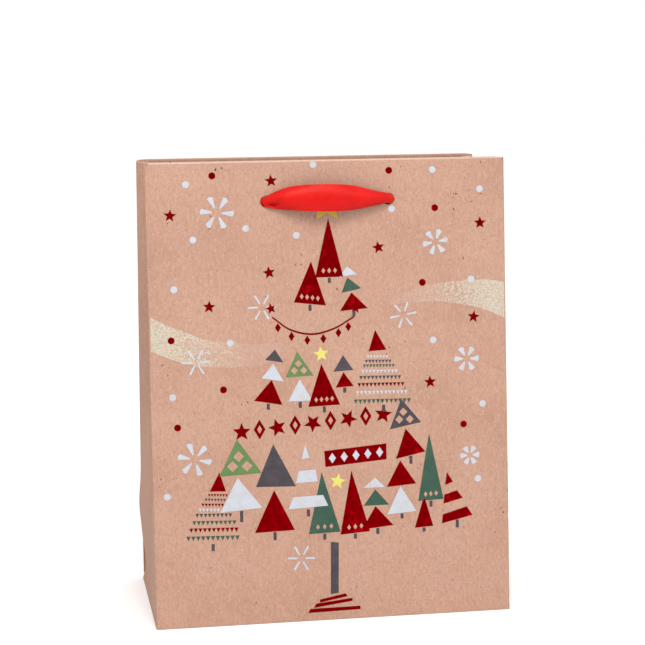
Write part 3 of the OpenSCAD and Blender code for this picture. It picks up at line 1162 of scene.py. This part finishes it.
def draw_striped_trees(p):
    """Two trees cut into slices, one white and one red."""
    p.shape("white", [(-16, 82), (-12, 82.5), (-14, 89)])
    p.shape("white", [(-19, 70), (-8, 70.5), (-9, 76.5), (-17.5, 76)])
    p.shape("white", [(-23, 57), (-3, 58), (-5.5, 63.5), (-20.5, 63)], 2)
    p.trunk(-13, 53, 3.5)
    p.shape("red", [(57, 65.5), (61, 67), (58, 72)])
    p.shape("red", [(56, 56), (66, 58.5), (63, 62.5), (56.5, 60.5)])
    p.shape("red", [(55, 46), (71, 49.5), (68, 54), (55.5, 50.5)])
    p.trunk(63, 43.5, 4)


def draw_garland_trees(p):
    """Two trees made of a cap and rows of pennants that widen downwards."""
    p.shape("red", [(19, 134.5), (28, 135), (22.5, 145)])
    rows = (("white", 132.5), ("grey", 130.3), ("green", 128), ("white", 125.3), ("grey", 122.3),
            ("red", 118.8), ("white", 114.8), ("green", 110.6))
    for i, (ink, s) in enumerate(rows):
        p.bunting(ink, 18 - i, 29 + 1.6 * i, s, 1.5 + 0.1 * i, 0.4)
    p.trunk(26, 104, 3.5)
    p.shape("red", [(-62, 67.8), (-54, 67.6), (-57, 77)])
    rows = (("red", 66.6, -53), ("grey", 64.4, -54), ("red", 62, -55), ("white", 59.6, -57),
            ("grey", 57, -51), ("green", 53.4, -49), ("red", 49.8, -48), ("green", 45.8, -47.5))
    for i, (ink, s, right) in enumerate(rows):
        p.bunting(ink, -63 - 1.6 * i, right, s, 1.4 + 0.14 * i, 0.6)
    p.trunk(-61, 38, 3.5)


def draw_garland(p):
    """A string of small diamonds between two stars."""
    steps = 40
    half = 0.45
    string = [(-29, 153), (-20, 146.5), (-9, 144), (2, 146.5), (12, 152)]
    p.band("red", [(x, s + half) for x, s in string], [(x, s - half) for x, s in string], 1, steps)
    swag = through([(x, s, 0) for x, s in string], steps)
    for i in (3, 10, 17, 24, 31, 36):
        p.diamond("red", swag[i].x, swag[i].y - 3.1, 1.5, 2.3, 1)
    for x, s, tilt in ((-29.5, 157.3, 12), (13, 156.3, -10)):
        p.star("red", x, s, 2.8, tilt)


def draw_ornament_row(p):
    """Stars and diamonds by turns, where the big tree's middle is widest."""
    for i in range(9):
        x = -45.5 + 8.9 * i
        s = 96.8 + 0.75 * i
        if i % 2:
            p.diamond("red", x, s + 0.1, 2.9, 4.9, 1)
            p.diamond("bare", x, s + 0.1, 1.2, 2.1, 3)
        else:
            p.star("red", x, s - 0.1, 4.6, 8 * i)


def draw_parcel(p):
    """A red bar with five white diamonds."""
    p.shape("red", [(-4, 77.5), (27, 80), (27, 88), (-4.5, 85.5)])
    for i in range(5):
        p.diamond("white", -0.5 + 6 * i, 81.8 + 0.48 * i, 1.8, 2.6, 2)


def draw_trunk(p):
    """The big tree's trunk, and the red twigs that it stands on."""
    p.shape("grey", [(-2.5, 13), (1.5, 13.5), (2, 39), (-2, 39.5)])
    p.shape("red", [(-8, 9), (6, 11.5), (5, 13), (-8, 10.5)], 1)
    p.shape("red", [(-11, 6.5), (8.5, 9), (8.5, 10.5), (-10, 8.5)], 2)
    p.shape("red", [(-14, 4), (12.5, 4.5), (12.5, 6.2), (-13, 6)], 1)


printed = Print()
for draw in (draw_sky, draw_big_tree, draw_striped_trees, draw_garland_trees, draw_garland,
             draw_ornament_row, draw_parcel, draw_trunk):
    draw(printed)
printed.build()


# ------------ CAD pieces that show

# The cards, the board, the seam laps and the base flaps keep their CAD shapes
for material, nodes in (
        (board, ("front_card", "back_card", "base_board")),
        (kraft, ("base_flap_front", "base_flap_back")),
        (kraft_inside, ("seam_lap_lower", "seam_lap_upper", "base_flap_left", "base_flap_right"))):
    for node in nodes:
        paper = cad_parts[node].data
        paper.materials.clear()
        paper.materials.append(material)


# ------------ stage and light

def make_stage():
    """A pale floor just under the bag."""
    bm = bmesh.new()
    bmesh.ops.create_grid(bm, x_segments=1, y_segments=1, size=6)
    n = Nodes("pale_floor", Roughness=0.7)
    n.color(n.ramp(n.noise(3, 2), (0.3, (0.93, 0.93, 0.93, 1)), (0.7, (0.95, 0.95, 0.95, 1))))
    floor = new_object("floor", built("floor", bm), n.material)
    floor.location.z = -0.2 * MM


def make_sun(name, toward, strength, softness):
    """A sun in this direction from the bag, softness degrees wide."""
    data = bpy.data.lights.new(name, "SUN")
    data.energy = strength
    data.angle = math.radians(softness)
    sun = bpy.data.objects.new(name, data)
    bpy.context.scene.collection.objects.link(sun)
    sun.rotation_euler = Vector(toward).to_track_quat("Z", "Y").to_euler()


def make_light(name, location, target, size, power):
    """A square lamp aimed at target, all in metres."""
    data = bpy.data.lights.new(name, "AREA")
    data.shape = "SQUARE"
    data.size = size
    data.energy = power
    light = bpy.data.objects.new(name, data)
    bpy.context.scene.collection.objects.link(light)
    light.location = location
    light.rotation_euler = (Vector(target) - Vector(location)).to_track_quat("-Z", "Y").to_euler()


def make_world():
    """An even white studio."""
    world = bpy.data.worlds.new("studio")
    world.use_nodes = True
    background = world.node_tree.nodes["Background"]
    background.inputs["Color"].default_value = (1, 1, 1, 1)
    background.inputs["Strength"].default_value = 1.0
    bpy.context.scene.world = world
    bpy.context.scene.view_settings.view_transform = "Standard"


make_stage()
make_sun("key", (0.4, -0.8, 0.6), strength=0.9, softness=40)
make_light("highlight", (-0.15, -0.8, 1.05), (0, 0, 0.2), size=0.4, power=8)
make_world()
